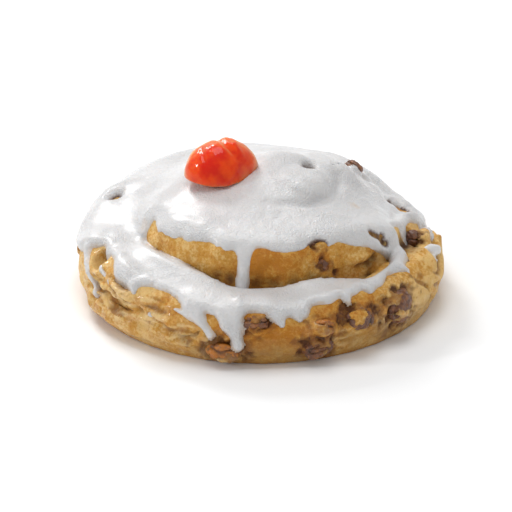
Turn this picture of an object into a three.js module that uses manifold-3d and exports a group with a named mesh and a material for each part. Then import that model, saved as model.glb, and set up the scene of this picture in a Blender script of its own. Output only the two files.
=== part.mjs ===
// A belgian bun: a coil of sweet dough with sultanas, white icing over the top
// and half a glace cherry. Millimetres, +Z up, the front of the bun faces -Y.
// The dough strip winds clockwise from its tail at the right of the bun inwards,
// each turn standing higher than the one outside it.
import * as THREE from "three";
import { mergeVertices } from "three/addons/utils/BufferGeometryUtils.js";
import Module from "manifold-3d";

const wasm = await Module();
wasm.setup();

// ---- driving dimensions -------------------------------------------------
const CLEARANCE = 0.3; // gap between touching pieces
const ICING = 1.7; // thickness of the icing
const TAIL = 25; // azimuth of the tail tip, degrees
const COIL_START = 14; // the swept strip begins here, degrees along the coil
const TURN_END = 372; // here the outer turn becomes the second one
const COIL_END = 712; // and here the strip runs into the dome
const COIL_STEP = 10; // degrees of one step on the outer turn
const INNER_STEP = 18; // degrees of one step on the turns inside it
const SECTION_ARCS = 7; // steps over the rounded top of a section
const OVERLAP = 1.0; // how far a turn presses into its neighbour
const BULGE_Z = 8; // height at which the outer wall is widest
const BASE_INSET = 2.8; // how far the foot of the wall lies inside the bulge
const HUMP = { x: 12, y: -4, radius: 9.4, foot: 31, top: 38.4, power: 2.6, sides: 12 };
const DOME = { x: -1, y: 0, radius: 31, foot: 18, top: 36.7, power: 2.5, sides: 22 };
const SHOULDER = { x: 0.6, y: 7.5, radius: 39, foot: 12, top: 34.4, power: 2.3, sides: 24 };

// Outer edge radius of the strip and the height of its crest, at degrees along
// the coil counted from the tail.
const STRIP_EDGE = [
  [0, 54.6], [40, 55.4], [80, 54.4], [115, 54.4], [160, 54.4], [205, 54.8], [295, 54.4],
  [345, 53.6], [362, 53.2], [378, 49.6], [392, 45.4], [405, 42.6], [428, 40.9], [445, 40.3],
  [475, 39.6], [520, 38.6], [565, 37.5], [655, 33.5], [745, 28.5], [835, 22.8], [925, 17.5],
  [1015, 12.5], [1105, 8.5],
];
const STRIP_CREST = [
  [0, 11.6], [25, 15.4], [42, 17.8], [70, 18.8], [115, 18.4], [160, 19.2], [205, 20.5],
  [235, 22.9], [265, 24.8], [295, 24.4], [325, 21.6], [345, 18.0], [365, 17.6], [380, 20.5],
  [400, 25.6], [416, 28.6], [435, 30.6], [475, 32.0], [565, 32.6], [655, 32.6], [745, 34.4],
];
const INWARD_RISE = 0.2; // slope of an inner turn's top towards the middle
const WALL_WAIST = 14; // height at which an inner turn starts to round over
const OUTER_POWER = 2.35; // roundness of the outer turn's section
const WALL_POWER = 3.6; // and of the steep front wall of the second turn
const BACK_POWER = 2.6; // and of its softer back

// Lower edge of the icing on the outer wall: azimuth and height.
const ICING_EDGE = [
  [-180, 12.6], [-174, 12.8], [-168, 16.4], [-160, 19.6], [-151, 19.6], [-146, 17.2],
  [-137, 16.2], [-128, 18.4], [-121, 17.2], [-112, 15.2], [-100, 15.4], [-92, 16.2],
  [-84, 15.8], [-74, 15.4], [-66, 16.8], [-50, 17.4], [-40, 19.0], [-30, 20.0],
  [-25, 21.5], [-19, 24.0], [-8, 24.0], [-2, 19.5], [4, 16.8], [14, 15.2], [26, 14.6], [50, 16.8], [76, 14.6], [100, 17.0],
  [126, 15.4], [150, 16.6], [166, 14.2], [180, 12.6],
];
const DRIPS = [
  { at: -156, width: 5.0, drop: 9.6 },
  { at: -135, width: 4.5, drop: 1.6 },
  { at: -106.5, width: 7.5, drop: 6.4 },
  { at: -97.0, width: 8.5, drop: 10.4 },
  { at: -82.6, width: 6.0, drop: 3.2 },
  { at: -76.5, width: 5.0, drop: 1.8 },
  { at: 18, width: 8.0, drop: 5.0 },
  { at: 62, width: 7.0, drop: 3.6 },
  { at: 88, width: 9.0, drop: 6.8 },
  { at: 136, width: 8.0, drop: 5.6 },
  { at: 158, width: 6.0, drop: 3.4 },
];

// Icing that pooled in the valley between the two turns: azimuth, height of its
// top, and how far in and out it reaches. It leaves the dark fold at the right free.
const POOL = [
  { at: -366, top: 17.5, inner: 37.0, outer: 44.5 }, { at: -345, top: 22.0, inner: 36.0, outer: 46.5 },
  { at: -315, top: 24.0, inner: 36.0, outer: 47.5 }, { at: -285, top: 26.4, inner: 36.0, outer: 47.0 },
  { at: -245, top: 26.4, inner: 36.0, outer: 47.0 }, { at: -212, top: 24.4, inner: 36.0, outer: 47.0 },
  { at: -180, top: 21.6, inner: 36.5, outer: 47.2 }, { at: -157, top: 21.4, inner: 37.5, outer: 47.6 },
  { at: -128, top: 22.4, inner: 38.0, outer: 47.6 }, { at: -107, top: 19.8, inner: 40.2, outer: 47.6 },
  { at: -90, top: 19.0, inner: 40.6, outer: 47.6 }, { at: -70, top: 20.8, inner: 40.6, outer: 47.6 },
  { at: -55, top: 19.6, inner: 41.2, outer: 47.6 }, { at: -38, top: 16.6, inner: 43.0, outer: 47.6 },
];
const POOL_DEPTH = 7;
const POOL_STEP = 9; // degrees

// Bare patches on the wall of the second turn: azimuth range, top height at a
// few azimuths, and how far out the icing of the outer turn is bare too.
const WINDOWS = [
  {
    top: [[-154, 24.0], [-150, 27.6], [-132, 29.6], [-112, 30.4], [-103, 28.8], [-99, 24.0]],
    reach: [[-154, 41.0], [-99, 41.4]],
  },
  {
    top: [[-94, 26.0], [-89, 29.0], [-74, 28.8], [-58, 29.6], [-42, 27.4], [-31, 24.0], [-25, 20.0]],
    reach: [[-94, 41.4], [-56, 42.0], [-42, 46.0], [-33, 46.4], [-25, 43.0]],
  },
];
const WINDOW_INNER = 30; // radius to which a window cutter reaches inwards
const WINDOW_FLOOR = 8;
const WINDOW_STEP = 4;

// Hollows: the dark fold at the right and the pocket at the left.
const HOLLOWS = [
  { at: -7, r: 44.8, z: 19.0, size: [4.6, 3.4, 5.6] },
  { at: -159, r: 50.0, z: 17.0, size: [3.4, 4.0, 3.6] },
];

// The foot that the left front of the bun spread into, and the torn layers above it.
const FOOT = { from: -176, to: -103, radius: 51.0, halfWidth: 4.2, height: 7.4, step: 7 };
const FOOT_INSET = 4.4; // how far the foot is undercut
const TEAR = { from: -170, to: -122, radius: 57.2, halfWidth: 3.6, low: 8.2, high: 15.0, step: 7 };
const LAYERS = [
  { from: -166, to: -128, radius: 52.4, halfWidth: 2.0, z: 10.0, halfHeight: 1.1 },
  { from: -160, to: -134, radius: 51.8, halfWidth: 2.0, z: 13.2, halfHeight: 1.0 },
];

// Sultanas: azimuth, radius and height of the middle; half length along the
// wall, half thickness and half height; and the roll about the radius.
const SULTANAS = [
  { at: -101.3, r: 53.2, z: 4.9, size: [5.4, 3.0, 3.2], roll: 4 },
  { at: -91.6, r: 52.6, z: 13.6, size: [4.0, 2.8, 2.5], roll: -6 },
  { at: -70.2, r: 53.6, z: 11.6, size: [3.6, 2.6, 2.3], roll: 14 },
  { at: -72.0, r: 53.2, z: 5.2, size: [4.8, 3.0, 3.3], roll: -10 },
  { at: -57.6, r: 53.2, z: 11.8, size: [5.0, 3.0, 3.4], roll: 20 },
  { at: -40.6, r: 53.4, z: 10.4, size: [4.7, 3.2, 5.3], roll: 18 },
  { at: -3.0, r: 47.0, z: 16.8, size: [2.8, 2.2, 2.4], roll: 0 },
  { at: -60.8, r: 37.8, z: 22.4, size: [3.6, 2.8, 3.2], roll: 10 },
  { at: -64.0, r: 34.0, z: 29.6, size: [3.2, 2.8, 2.2], roll: 0 },
  { at: 36.0, r: 35.0, z: 28.6, size: [3.6, 2.6, 2.6], roll: 0 },
  { at: 26.0, r: 53.0, z: 8.6, size: [4.8, 3.0, 3.2], roll: 12 },
  { at: 58.0, r: 52.6, z: 12.2, size: [4.4, 2.8, 2.8], roll: -14 },
  { at: 81.0, r: 52.6, z: 5.4, size: [5.2, 3.0, 3.2], roll: 6 },
  { at: 109.0, r: 52.8, z: 11.0, size: [4.6, 3.0, 3.4], roll: -8 },
  { at: 142.0, r: 53.0, z: 6.6, size: [4.8, 3.0, 2.8], roll: 10 },
  { at: 172.0, r: 53.6, z: 8.4, size: [4.2, 2.8, 2.8], roll: -12 },
];

// Half a glace cherry: its middle, the turn of its long axis and its half sizes.
const CHERRY = { x: -11.8, y: -1.2, z: 37.7, turn: 24, half: [11.4, 9.0, 10.6] };
const CHERRY_UNDERSIDE = 0.13; // depth of the rounded underside, as a share of the height
const CHERRY_POINT = 0.1; // how much the right end is drawn out
const CHERRY_CREASE = 0.8; // depth of the crease on top, mm

// ---- small helpers --------------------------------------------------------
const radians = THREE.MathUtils.degToRad;

function between(keys, x) {
  // smooth curve through the keys, which are in rising order
  const last = keys.length - 1;
  if (x <= keys[0][0]) return keys[0][1];
  if (x >= keys[last][0]) return keys[last][1];
  let i = 0;
  while (keys[i + 1][0] < x) i += 1;
  const slope = (k) => {
    const a = keys[Math.max(k - 1, 0)];
    const b = keys[Math.min(k + 1, last)];
    return (b[1] - a[1]) / (b[0] - a[0]);
  };
  const span = keys[i + 1][0] - keys[i][0];
  const s = (x - keys[i][0]) / span;
  const rise = keys[i + 1][1] - keys[i][1];
  const m0 = slope(i) * span;
  const m1 = slope(i + 1) * span;
  return keys[i][1] + s * s * (3 - 2 * s) * rise + s * (1 - s) * ((1 - s) * m0 - s * m1);
}

function polar(azimuth, r, z) {
  return new THREE.Vector3(r * Math.cos(radians(azimuth)), r * Math.sin(radians(azimuth)), z);
}

function toManifold(geometry) {
  const bare = geometry.index ? geometry.clone() : geometry;
  bare.deleteAttribute("normal");
  bare.deleteAttribute("uv");
  const merged = mergeVertices(bare, 1e-4);
  return new wasm.Manifold(new wasm.Mesh({
    numProp: 3,
    vertProperties: new Float32Array(merged.attributes.position.array),
    triVerts: new Uint32Array(merged.index.array),
  }));
}

function toGeometry(solid) {
  const mesh = solid.getMesh();
  const geometry = new THREE.BufferGeometry();
  geometry.setAttribute("position", new THREE.BufferAttribute(new Float32Array(mesh.vertProperties), 3));
  geometry.setIndex(new THREE.BufferAttribute(new Uint32Array(mesh.triVerts), 1));
  return geometry;
}

// Triangles over an upright ring, wound the way the ring runs.
function capTriangles(ring) {
  const x = ring[0].clone().sub(ring[ring.length >> 1]).setZ(0).normalize();
  const flat = ring.map((p) => new THREE.Vector2(p.dot(x), p.z));
  const ahead = THREE.ShapeUtils.area(flat) > 0;
  return THREE.ShapeUtils.triangulateShape(flat, []).map((triangle) => {
    const same = THREE.ShapeUtils.area(triangle.map((k) => flat[k])) > 0 === ahead;
    return same ? triangle : triangle.reverse();
  });
}

// A closed solid through a row of rings with the same number of points. A ring
// runs anticlockwise seen from ahead, looking back along the row.
function skin(rings, closedRow = false) {
  const size = rings[0].length;
  const points = rings.flat();
  const triangles = [];
  const rows = closedRow ? rings.length : rings.length - 1;
  for (let i = 0; i < rows; i += 1) {
    const a = i * size;
    const b = ((i + 1) % rings.length) * size;
    for (let j = 0; j < size; j += 1) {
      const k = (j + 1) % size;
      triangles.push(a + j, a + k, b + k, a + j, b + k, b + j);
    }
  }
  if (!closedRow) {
    const end = (rings.length - 1) * size;
    for (const [a, b, c] of capTriangles(rings[0])) triangles.push(c, b, a);
    for (const [a, b, c] of capTriangles(rings.at(-1))) triangles.push(end + a, end + b, end + c);
  }
  const geometry = new THREE.BufferGeometry();
  const array = new Float32Array(points.flatMap((p) => [p.x, p.y, p.z]));
  geometry.setAttribute("position", new THREE.BufferAttribute(array, 3));
  geometry.setIndex(triangles);
  return toManifold(geometry);
}

function ellipsoid({ at, r, z, size, roll = 0 }, grow = 0, across = 8, down = 5) {
  const geometry = new THREE.SphereGeometry(1, across, down);
  geometry.rotateX(Math.PI / 2);
  geometry.scale(size[0] + grow, size[1] + grow, size[2] + grow);
  geometry.rotateY(radians(roll));
  geometry.rotateZ(radians(at + 90));
  const middle = polar(at, r, z);
  geometry.translate(middle.x, middle.y, middle.z);
  return geometry;
}

// ---- the coil of dough ------------------------------------------------------
function coilCentre(t) {
  const s = THREE.MathUtils.smoothstep(t, 420, 900);
  return new THREE.Vector3(7.5 * s, -3.0 * s, 0);
}

// Section of the strip at t degrees along the coil. The outer turn is rounded,
// the inner ones have steep walls and a top that rises inwards.
function coilSection(t, grow) {
  const azimuth = TAIL - t;
  const outer = polar(azimuth, between(STRIP_EDGE, t), 0).add(coilCentre(t));
  const inner = polar(azimuth, between(STRIP_EDGE, t + 360) - OVERLAP, 0).add(coilCentre(t + 360));
  const middle = outer.clone().add(inner).multiplyScalar(0.5);
  const across = outer.clone().sub(inner).normalize();
  const half = outer.distanceTo(inner) / 2 + grow;
  const inside = THREE.MathUtils.smoothstep(t, 355, 430);
  const behind = THREE.MathUtils.smoothstep(t, 540, 640);
  const crest = between(STRIP_CREST, t) + grow;
  const waist = THREE.MathUtils.lerp(BULGE_Z, WALL_WAIST, inside);
  const wallPower = THREE.MathUtils.lerp(WALL_POWER, BACK_POWER, behind);
  const power = THREE.MathUtils.lerp(OUTER_POWER, wallPower, inside);
  const rise = INWARD_RISE * inside;
  const place = (u, z) => middle.clone().addScaledVector(across, u).setZ(z);
  const ring = [place(half - BASE_INSET * (1 - inside), 0)];
  for (let k = 0; k <= SECTION_ARCS; k += 1) {
    const a = (Math.PI * k) / SECTION_ARCS;
    const u = half * Math.sign(Math.cos(a)) * Math.abs(Math.cos(a)) ** (2 / power);
    const z = waist + (crest - waist) * Math.sin(a) ** (2 / power) - rise * u;
    ring.push(place(u, z));
  }
  ring.push(place(-half, 0));
  return ring;
}

function coilPiece(from, to, step, grow) {
  const steps = Math.max(1, Math.round((to - from) / step));
  const rings = [];
  for (let i = 0; i <= steps; i += 1) {
    rings.push(coilSection(from + ((to - from) * i) / steps, grow));
  }
  return skin(rings);
}

// A turned swelling with a rounded top: the hump that starts the coil, and the
// dome into which the middle turns have risen.
function swelling({ x, y, radius, foot, top, power, sides }, grow) {
  const profile = [new THREE.Vector2(0, 0), new THREE.Vector2(radius + grow, 0)];
  const arcs = 4;
  for (let k = 0; k <= arcs; k += 1) {
    const a = (Math.PI / 2) * (k / arcs);
    const r = k === arcs ? 0 : (radius + grow) * Math.cos(a) ** (2 / power);
    profile.push(new THREE.Vector2(r, foot + (top + grow - foot) * Math.sin(a) ** (2 / power)));
  }
  const geometry = new THREE.LatheGeometry(profile, sides);
  geometry.rotateX(Math.PI / 2);
  geometry.translate(x, y, 0);
  return toManifold(geometry);
}

function coil(grow = 0) {
  const swellings = swelling(DOME, grow).add(swelling(HUMP, grow)).add(swelling(SHOULDER, grow));
  const outerTurn = coilPiece(COIL_START, TURN_END, COIL_STEP, grow);
  const secondTurn = coilPiece(TURN_END, COIL_END, INNER_STEP, grow);
  return swellings.add(outerTurn).add(secondTurn);
}

// A low ridge that follows the outside of the bun.
function ridge({ from, to, radius, halfWidth, z, halfHeight }, grow = 0) {
  const rings = [];
  for (let at = to; at >= from; at -= 6.3) {
    const end = Math.min(at - from, to - at) / (to - from);
    const swell = Math.sqrt(Math.min(1, 0.15 + 4 * end));
    const ring = [];
    for (let k = 0; k < 6; k += 1) {
      const a = (Math.PI * 2 * k) / 6;
      const out = (halfWidth * swell + grow) * Math.cos(a);
      const up = (halfHeight * swell + grow) * Math.sin(a);
      ring.push(polar(at, radius + out, z + up));
    }
    rings.push(ring);
  }
  return skin(rings);
}

function foot(grow = 0) {
  const rings = [];
  for (let at = FOOT.to; at >= FOOT.from; at -= FOOT.step) {
    const end = Math.min(at - FOOT.from, FOOT.to - at);
    const swell = THREE.MathUtils.smoothstep(end, -10, 24);
    const out = FOOT.radius + FOOT.halfWidth * swell + grow;
    const top = FOOT.height * (0.55 + 0.45 * swell) + grow;
    rings.push([
      polar(at, out - FOOT_INSET, 0), polar(at, out, top * 0.6), polar(at, out - 0.5, top * 0.86),
      polar(at, out - 2.2, top), polar(at, FOOT.radius - 6, top * 0.9), polar(at, FOOT.radius - 6, 0),
    ]);
  }
  return skin(rings);
}

function tear() {
  const rings = [];
  const middle = (TEAR.low + TEAR.high) / 2;
  for (let at = TEAR.to; at >= TEAR.from; at -= TEAR.step) {
    const end = Math.min(at - TEAR.from, TEAR.to - at);
    const depth = TEAR.halfWidth * THREE.MathUtils.smoothstep(end, -8, 18);
    rings.push([
      polar(at, TEAR.radius, TEAR.low), polar(at, TEAR.radius + 3, middle), polar(at, TEAR.radius, TEAR.high),
      polar(at, TEAR.radius - depth, TEAR.high - 1.4), polar(at, TEAR.radius - 1.5 * depth, middle),
      polar(at, TEAR.radius - depth * 1.2, TEAR.low + 0.6),
    ]);
  }
  return skin(rings);
}

// ---- the icing --------------------------------------------------------------
function icingEdge(azimuth) {
  let z = between(ICING_EDGE, azimuth);
  for (const { at, width, drop } of DRIPS) {
    const s = Math.abs(azimuth - at) / (width / 2);
    if (s < 1) z -= drop * Math.sqrt(1 - s * s);
  }
  return z;
}

// Everything above the icing's lower edge.
function crown() {
  const steps = 86;
  const rings = [];
  for (let i = 0; i < steps; i += 1) {
    const at = 180 - (360 * i) / steps;
    const z = icingEdge(at);
    rings.push([polar(at, 44, z), polar(at, 75, z), polar(at, 75, 60), polar(at, 44, 60)]);
  }
  const wall = skin(rings, true);
  const profile = [[0, 12], [45, 12], [45, 60], [0, 60]].map(([r, z]) => new THREE.Vector2(r, z));
  const core = new THREE.LatheGeometry(profile, 24);
  core.rotateX(Math.PI / 2);
  return wall.add(toManifold(core));
}

// The pool's section has a flat underside in the dough and a rounded top.
function pool() {
  const keys = (name) => POOL.map((key) => [key.at, key[name]]);
  const rings = [];
  for (let at = POOL.at(-1).at; at >= POOL[0].at; at -= POOL_STEP) {
    const top = between(keys("top"), at);
    const inner = between(keys("inner"), at);
    const outer = between(keys("outer"), at);
    const middle = inner * 0.6 + outer * 0.4;
    rings.push([
      polar(at, outer, top - POOL_DEPTH), polar(at, outer - 1, top - 2.4), polar(at, middle, top),
      polar(at, inner, top - 1.2), polar(at, inner, top - POOL_DEPTH),
    ]);
  }
  return skin(rings);
}

function bareWindow({ top, reach }) {
  const rings = [];
  const from = top[0][0];
  const to = top.at(-1)[0];
  const steps = Math.round((to - from) / WINDOW_STEP);
  for (let i = 0; i <= steps; i += 1) {
    const at = to - ((to - from) * i) / steps;
    const out = between(reach, at);
    const high = between(top, at);
    rings.push([
      polar(at, WINDOW_INNER, WINDOW_FLOOR), polar(at, out, WINDOW_FLOOR),
      polar(at, out, high - 2), polar(at, out - 2, high), polar(at, WINDOW_INNER, high),
    ]);
  }
  return skin(rings);
}

// ---- the cherry ---------------------------------------------------------------
function cherryGeometry(grow = 0) {
  const geometry = new THREE.SphereGeometry(1, 16, 10);
  geometry.rotateX(Math.PI / 2);
  const p = geometry.attributes.position;
  const point = new THREE.Vector3();
  for (let i = 0; i < p.count; i += 1) {
    point.fromBufferAttribute(p, i);
    const along = point.x;
    const crease = Math.exp(-((point.y - 0.1) ** 2) / 0.02) * Math.exp(-((along + 0.15) ** 2) / 0.12);
    const flat = point.z < 0 ? CHERRY_UNDERSIDE : 1;
    const taper = 1 - 0.16 * Math.max(0, along);
    point.x *= (CHERRY.half[0] + grow) * (1 + CHERRY_POINT * Math.max(0, along) ** 3);
    point.y *= (CHERRY.half[1] + grow) * taper;
    point.z *= (CHERRY.half[2] + grow) * flat;
    if (flat === 1 && grow === 0) point.z -= CHERRY_CREASE * crease;
    p.setXYZ(i, point.x, point.y, point.z);
  }
  geometry.rotateZ(radians(CHERRY.turn));
  geometry.translate(CHERRY.x, CHERRY.y, CHERRY.z - grow * 0.2);
  return geometry;
}

// Crumbs that the cuts leave behind are dropped.
function largestPiece(solid) {
  const pieces = solid.decompose();
  pieces.sort((a, b) => b.volume() - a.volume());
  return pieces[0];
}

// ---- the assembly --------------------------------------------------------------
function makeDough() {
  let dough = coil().add(foot()).subtract(tear());
  for (const layer of LAYERS) dough = dough.add(ridge(layer));
  for (const hollow of HOLLOWS) dough = dough.subtract(toManifold(ellipsoid(hollow)));
  for (const sultana of SULTANAS) {
    dough = dough.subtract(toManifold(ellipsoid(sultana, CLEARANCE)));
  }
  return largestPiece(dough.subtract(toManifold(cherryGeometry(CLEARANCE))));
}

function makeIcing() {
  let icing = coil(ICING).add(pool()).intersect(crown()).subtract(coil(CLEARANCE)).subtract(foot(CLEARANCE));
  for (const layer of LAYERS) icing = icing.subtract(ridge(layer, CLEARANCE));
  for (const opening of WINDOWS) icing = icing.subtract(bareWindow(opening));
  for (const hollow of HOLLOWS) icing = icing.subtract(toManifold(ellipsoid(hollow, CLEARANCE)));
  for (const sultana of SULTANAS) {
    icing = icing.subtract(toManifold(ellipsoid(sultana, CLEARANCE)));
  }
  icing = icing.subtract(toManifold(cherryGeometry(CLEARANCE)));
  return largestPiece(icing);
}

const MATERIALS = {
  dough: new THREE.MeshStandardMaterial({ color: 0xc8954a, roughness: 0.7, metalness: 0 }),
  icing: new THREE.MeshStandardMaterial({ color: 0xf2f1f2, roughness: 0.3, metalness: 0 }),
  cherry: new THREE.MeshStandardMaterial({ color: 0xdc3a06, roughness: 0.15, metalness: 0 }),
  sultana: new THREE.MeshStandardMaterial({ color: 0x6d3417, roughness: 0.45, metalness: 0 }),
};

const bun = new THREE.Group();

function addPiece(name, geometry, material) {
  const mesh = new THREE.Mesh(geometry, material);
  mesh.name = name;
  bun.add(mesh);
}

addPiece("dough", toGeometry(makeDough()), MATERIALS.dough);
addPiece("icing", toGeometry(makeIcing()), MATERIALS.icing);
addPiece("cherry", cherryGeometry(), MATERIALS.cherry);
SULTANAS.forEach((sultana, i) => {
  const name = `sultana_${String(i + 1).padStart(2, "0")}`;
  addPiece(name, ellipsoid(sultana), MATERIALS.sultana);
});

// The origin is the middle of the underside.
const box = new THREE.Box3().setFromObject(bun);
const centre = box.getCenter(new THREE.Vector3());
bun.position.set(-centre.x, -centre.y, -box.min.z);

export default bun;
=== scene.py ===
# A belgian bun: a coil of sweet dough with sultanas, a coat of white icing that
# ran down over the side, and half a glace cherry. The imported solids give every
# place and size; here they get their baked, iced and sticky surfaces.
import math

import bpy
import numpy as np
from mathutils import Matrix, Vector
from mathutils.bvhtree import BVHTree
from mathutils.kdtree import KDTree


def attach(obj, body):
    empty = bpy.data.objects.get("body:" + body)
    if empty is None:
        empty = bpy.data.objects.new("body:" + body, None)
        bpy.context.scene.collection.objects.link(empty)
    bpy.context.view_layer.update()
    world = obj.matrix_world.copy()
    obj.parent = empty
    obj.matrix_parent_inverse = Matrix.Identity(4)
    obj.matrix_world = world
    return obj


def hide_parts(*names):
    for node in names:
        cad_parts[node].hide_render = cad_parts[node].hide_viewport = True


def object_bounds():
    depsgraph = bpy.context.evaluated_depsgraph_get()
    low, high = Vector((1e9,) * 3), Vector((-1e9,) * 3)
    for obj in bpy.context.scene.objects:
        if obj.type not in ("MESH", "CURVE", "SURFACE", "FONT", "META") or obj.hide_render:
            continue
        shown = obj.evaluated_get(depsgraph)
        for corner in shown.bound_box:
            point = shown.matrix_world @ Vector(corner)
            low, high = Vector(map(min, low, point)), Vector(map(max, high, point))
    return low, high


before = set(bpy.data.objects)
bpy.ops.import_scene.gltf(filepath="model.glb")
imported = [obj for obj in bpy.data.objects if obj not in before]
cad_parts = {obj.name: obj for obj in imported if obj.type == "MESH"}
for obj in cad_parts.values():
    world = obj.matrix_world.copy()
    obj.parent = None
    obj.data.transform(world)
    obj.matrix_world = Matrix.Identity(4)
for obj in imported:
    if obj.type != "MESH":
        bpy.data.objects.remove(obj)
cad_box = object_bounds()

MM = 0.001
SULTANAS = [f"sultana_{i:02d}" for i in range(1, 17)]


# ---- camera ----
CAMERA_DISTANCE = 1.0
CAMERA_ELEVATION = math.radians(26)
CAMERA_LENS = 234
CAMERA_SENSOR = 36
CAMERA_AIM = Vector((-0.0009, 0, 0.0097))


def place_camera():
    bpy.ops.object.camera_add()
    camera = bpy.context.object
    camera.name = "camera"
    back = Vector((0, -math.cos(CAMERA_ELEVATION), math.sin(CAMERA_ELEVATION)))
    camera.location = CAMERA_AIM + back * CAMERA_DISTANCE
    camera.rotation_euler = (math.pi / 2 - CAMERA_ELEVATION, 0, 0)
    camera.data.lens = CAMERA_LENS
    camera.data.sensor_width = CAMERA_SENSOR
    camera.data.clip_end = 10 * CAMERA_DISTANCE
    bpy.context.scene.camera = camera


# ---- meshes ----
ROUNDING = 3  # subdivision steps of a fruit
BOX_MARGIN = 0.05  # everything stays this far inside the object's box, in millimetres
BOX_EASE = 0.8  # over this distance it is eased back
FLOOR_GAP = 0.02


def activate(piece):
    bpy.ops.object.select_all(action="DESELECT")
    piece.select_set(True)
    bpy.context.view_layer.objects.active = piece


def modify(piece, kind, **settings):
    """Adds a modifier with these settings and applies it."""
    activate(piece)
    modifier = piece.modifiers.new(kind.lower(), kind)
    for name, value in settings.items():
        setattr(modifier, name, value)
    bpy.ops.object.modifier_apply(modifier=modifier.name)


def piece_from(mesh, name):
    piece = bpy.data.objects.new(name, mesh)
    bpy.context.collection.objects.link(piece)
    return piece


def edit_all(piece, operator, **options):
    """Runs one mesh operator on the whole piece."""
    activate(piece)
    bpy.ops.object.mode_set(mode="EDIT")
    bpy.ops.mesh.select_all(action="SELECT")
    operator(**options)
    bpy.ops.object.mode_set(mode="OBJECT")


def copy_of(node, name):
    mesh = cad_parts[node].data.copy()
    mesh.materials.clear()
    piece = piece_from(mesh, name)
    edit_all(piece, bpy.ops.mesh.remove_doubles, threshold=1e-6)
    return piece


def rounded_copy_of(node, name):
    piece = copy_of(node, name)
    modify(piece, "SUBSURF", levels=ROUNDING, render_levels=ROUNDING)
    return piece


def join(pieces, name):
    activate(pieces[0])
    for piece in pieces:
        piece.select_set(True)
    bpy.ops.object.join()
    pieces[0].name = name
    pieces[0].data.name = name
    return pieces[0]


def remesh(piece, voxel):
    modify(piece, "REMESH", mode="VOXEL", voxel_size=voxel * MM, use_smooth_shade=True)


def drop_vertices(piece, gone):
    activate(piece)
    bpy.ops.object.mode_set(mode="EDIT")
    bpy.ops.mesh.select_mode(type="VERT")
    bpy.ops.mesh.select_all(action="DESELECT")
    bpy.ops.object.mode_set(mode="OBJECT")
    piece.data.vertices.foreach_set("select", gone)
    bpy.ops.object.mode_set(mode="EDIT")
    bpy.ops.mesh.delete(type="VERT")
    bpy.ops.object.mode_set(mode="OBJECT")


def rows_of(items, name, width, kind=np.float32):
    """One named value of all the items, as rows of the given width."""
    flat = np.empty(len(items) * width, dtype=kind)
    items.foreach_get(name, flat)
    return flat.reshape(-1, width)


def points_of(piece):
    """The vertices in millimetres."""
    return rows_of(piece.data.vertices, "co", 3).astype(float) / MM


def normals_of(piece):
    return rows_of(piece.data.vertex_normals, "vector", 3).astype(float)


def edges_of(piece):
    return rows_of(piece.data.edges, "vertices", 2, np.int32)


def put_points(piece, points):
    piece.data.vertices.foreach_set("co", (points * MM).astype(np.float32).ravel())
    piece.data.update()


def attributes(piece, **layers):
    """Writes a value at every vertex for the material to read, under each name."""
    for name, values in layers.items():
        layer = piece.data.attributes.new(name, "FLOAT", "POINT")
        layer.data.foreach_set("value", values.astype(np.float32))


def read_back(piece, name):
    return rows_of(piece.data.attributes[name].data, "value", 1).astype(float)[:, 0]


def keep_in_box(points):
    """Eases whatever stands out of the object's box back into it."""
    low = np.array(cad_box[0]) / MM + BOX_MARGIN
    high = np.array(cad_box[1]) / MM - BOX_MARGIN
    over = np.maximum(points - (high - BOX_EASE), 0)
    points = points - over + BOX_EASE * (1 - np.exp(-over / BOX_EASE))
    under = np.maximum(low + BOX_EASE - points, 0)
    under[:, 2] = 0
    points = points + under - BOX_EASE * (1 - np.exp(-under / BOX_EASE))
    points[:, 2] = np.maximum(points[:, 2], FLOOR_GAP)
    return points


def average_round(values, edges):
    """Each vertex's mean over its neighbours."""
    count = len(values)
    start, end = edges.T
    degree = np.maximum(np.bincount(edges.ravel(), minlength=count).astype(float), 1)
    means = []
    for column in values.reshape(count, -1).T:
        total = np.bincount(start, column[end], count)
        total += np.bincount(end, column[start], count)
        means.append(total / degree)
    return np.stack(means, axis=1).reshape(values.shape)


def relax(values, edges, rounds, share=0.5, mask=1):
    """Moves every value this share of the way to its neighbours' mean, round by round."""
    for _ in range(rounds):
        values = values + (average_round(values, edges) - values) * share * mask
    return values


def level_out(points, normals, edges, mask, rounds, lowest, highest):
    """Fills hollows and wears down crests where the mask is on."""
    calm = relax(points, edges, rounds, 0.5, mask[:, None])
    fill = np.clip(np.sum((calm - points) * normals, axis=1), lowest, highest)
    return points + normals * (fill * mask)[:, None]


# ---- curves and noise ----
SHIFT = 1000  # keeps every cell of the lattice above 0
PRIMES = (73856093, 19349663, 83492791)
SEED_FACTOR = 2654435761
MIXING = ((13, 1274126177), (16, 2246822519))


def smoothstep(low, high, x):
    s = np.clip((x - low) / (high - low), 0, 1)
    return s * s * (3 - 2 * s)


def smooth_max(a, b, width):
    mix = np.clip(0.5 + 0.5 * (a - b) / width, 0, 1)
    return b + (a - b) * mix + width * mix * (1 - mix)


def bell(x):
    """1 at 0, falling away on both sides."""
    return np.exp(-x ** 2)


def fade_at_ends(share, rate):
    """1 along a path and 0 at its two ends."""
    return np.clip(rate * share, 0, 1) * np.clip(rate * (1 - share), 0, 1)


def lattice(cell, seed):
    """A value from -1 to 1 for each cell of a grid."""
    h = np.uint32((seed * SEED_FACTOR) % 2**32)
    for axis, prime in enumerate(PRIMES):
        h = h ^ (cell[:, axis].astype(np.uint32) * np.uint32(prime))
    for bits, factor in MIXING:
        h = (h ^ (h >> np.uint32(bits))) * np.uint32(factor)
    return ((h >> np.uint32(8)) & np.uint32(0xFFFF)).astype(float) / 32767.5 - 1


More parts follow.
